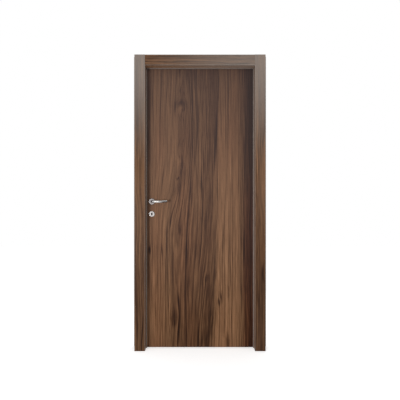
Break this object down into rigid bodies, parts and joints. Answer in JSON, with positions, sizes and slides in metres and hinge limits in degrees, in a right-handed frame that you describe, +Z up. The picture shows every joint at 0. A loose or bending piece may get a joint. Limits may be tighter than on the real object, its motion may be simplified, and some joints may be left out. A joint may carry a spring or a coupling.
{
  "type": "hinged door in its frame",
  "caption": "Flush walnut interior door leaf on barrel hinges in a timber frame with flat casings, rubber seal, and a lever handle over a round key rose.",
  "frame": {"origin": "on the hinge jamb's wall face, at floor level, at mid wall depth", "axes": "+X to the right as seen from the push side, +Y towards the pull side the leaf opens to, +Z up"},
  "size_m": [0.966, 0.17, 2.118],
  "materials": {
    "leaf_walnut": "satin lacquered veneer",
    "casing_walnut": "satin lacquered veneer",
    "frame_walnut": "satin lacquered veneer",
    "core_board": "raw board",
    "seal_rubber": "matt",
    "satin_steel": "satin nickel",
    "handle_steel": "satin nickel"
  },
  "bodies": {
    "frame": {"latch_jamb": "frame_walnut", "hinge_jamb": "frame_walnut", "head_jamb": "frame_walnut", "latch_stop": "frame_walnut", "hinge_stop": "frame_walnut", "head_stop": "frame_walnut", "front_latch_casing": "casing_walnut", "front_hinge_casing": "casing_walnut", "front_head_casing": "casing_walnut", "back_latch_casing": "casing_walnut", "back_hinge_casing": "casing_walnut", "back_head_casing": "casing_walnut", "latch_seal": "seal_rubber", "hinge_seal": "seal_rubber", "head_seal": "seal_rubber", "strike_plate": "satin_steel", "lower_hinge_frame_half": "satin_steel", "middle_hinge_frame_half": "satin_steel", "upper_hinge_frame_half": "satin_steel"},
    "leaf": {"leaf_core": "core_board", "leaf_front_skin": "leaf_walnut", "leaf_back_skin": "leaf_walnut", "leaf_latch_edge": "leaf_walnut", "leaf_hinge_edge": "leaf_walnut", "leaf_top_edge": "leaf_walnut", "lock_forend": "satin_steel", "latch_bolt": "satin_steel", "dead_bolt": "satin_steel", "front_handle_rose": "handle_steel", "back_handle_rose": "handle_steel", "front_key_rose": "handle_steel", "back_key_rose": "handle_steel", "lower_hinge_leaf_half": "satin_steel", "middle_hinge_leaf_half": "satin_steel", "upper_hinge_leaf_half": "satin_steel"},
    "handle": {"front_lever": "handle_steel", "back_lever": "handle_steel", "spindle": "satin_steel"}
  },
  "joints": [
    {"name": "leaf_swing", "type": "hinge", "parent": "frame", "child": "leaf", "pos_m": [-0.0255, 0.06, 1], "axis": [0, 0, -1], "range_deg": [0, 170]},
    {"name": "lever_turn", "type": "hinge", "parent": "leaf", "child": "handle", "pos_m": [-0.776, 0.03, 1.059], "axis": [0, 1, 0], "range_deg": [0, 40], "stiffness_Nm_per_rad": 1, "springref_deg": -28.65}
  ]
}
